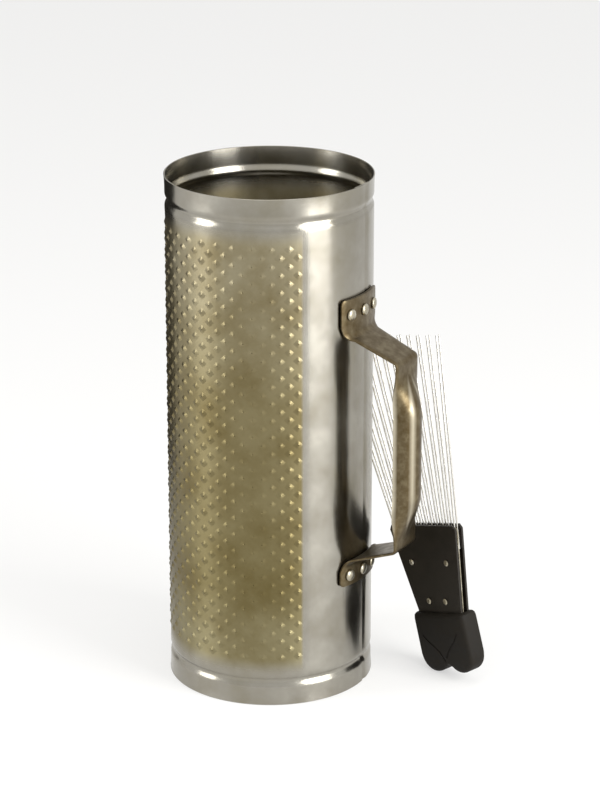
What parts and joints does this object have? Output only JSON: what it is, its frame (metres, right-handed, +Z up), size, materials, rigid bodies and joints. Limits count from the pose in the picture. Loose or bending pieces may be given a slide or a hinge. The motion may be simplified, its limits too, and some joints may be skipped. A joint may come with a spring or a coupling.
{
  "type": "guira with scraper",
  "caption": "Cylindrical metal rasp percussion drum with a strap handle on its side, and a hand scraper of sprung steel wires for stroking its punched wall.",
  "frame": {"origin": "centre of the bottom of the whole set's box, on the surface that it stands on", "axes": "+Z up along the drum's axis, +X the way the drum's handle points, +Y to the left of the handle seen from above, where the scraper stands"},
  "size_m": [0.2156, 0.1472, 0.356],
  "materials": {
    "drum_steel": "polished sheet with a warm cast",
    "strap_steel": "bare strap, slightly dull",
    "rivet_steel": "bright",
    "solder": "dull solder",
    "spring_wire": "bright drawn wire",
    "black_plastic": "black, satin",
    "black_rubber": "black, dull"
  },
  "bodies": {
    "drum": {"drum_sheet": "drum_steel", "handle_rivet_lower_left": "rivet_steel", "handle_rivet_lower_middle": "rivet_steel", "handle_rivet_lower_right": "rivet_steel", "handle_rivet_upper_left": "rivet_steel", "handle_rivet_upper_middle": "rivet_steel", "handle_rivet_upper_right": "rivet_steel", "handle_strap": "strap_steel", "rivet_washer_lower_left": "rivet_steel", "rivet_washer_lower_middle": "rivet_steel", "rivet_washer_lower_right": "rivet_steel", "rivet_washer_upper_left": "rivet_steel", "rivet_washer_upper_middle": "rivet_steel", "rivet_washer_upper_right": "rivet_steel", "seam_solder": "solder"},
    "scraper": {"collar_clamp_left_back": "rivet_steel", "collar_clamp_left_front": "rivet_steel", "collar_clamp_right_back": "rivet_steel", "collar_clamp_right_front": "rivet_steel", "collar_neck_left_back": "rivet_steel", "collar_neck_left_front": "rivet_steel", "collar_neck_right_back": "rivet_steel", "collar_neck_right_front": "rivet_steel", "holder_back_plate": "black_plastic", "holder_core": "rivet_steel", "holder_front_plate": "black_plastic", "pin_clamp_left": "rivet_steel", "pin_clamp_right": "rivet_steel", "pin_neck_left": "rivet_steel", "pin_neck_right": "rivet_steel", "scraper_boot": "black_rubber", "tine_back_01": "spring_wire", "tine_back_02": "spring_wire", "tine_back_03": "spring_wire", "tine_back_04": "spring_wire", "tine_back_05": "spring_wire", "tine_back_06": "spring_wire", "tine_back_07": "spring_wire", "tine_back_08": "spring_wire", "tine_back_09": "spring_wire", "tine_back_10": "spring_wire", "tine_back_11": "spring_wire", "tine_back_12": "spring_wire", "tine_front_01": "spring_wire", "tine_front_02": "spring_wire", "tine_front_03": "spring_wire", "tine_front_04": "spring_wire", "tine_front_05": "spring_wire", "tine_front_06": "spring_wire", "tine_front_07": "spring_wire", "tine_front_08": "spring_wire", "tine_front_09": "spring_wire", "tine_front_10": "spring_wire", "tine_front_11": "spring_wire", "tine_front_12": "spring_wire"}
  },
  "joints": [
    {"name": "scraper_lift", "type": "slide", "parent": "drum", "child": "scraper", "axis": [0, 0, 1], "range_m": [0, 0.38]}
  ]
}
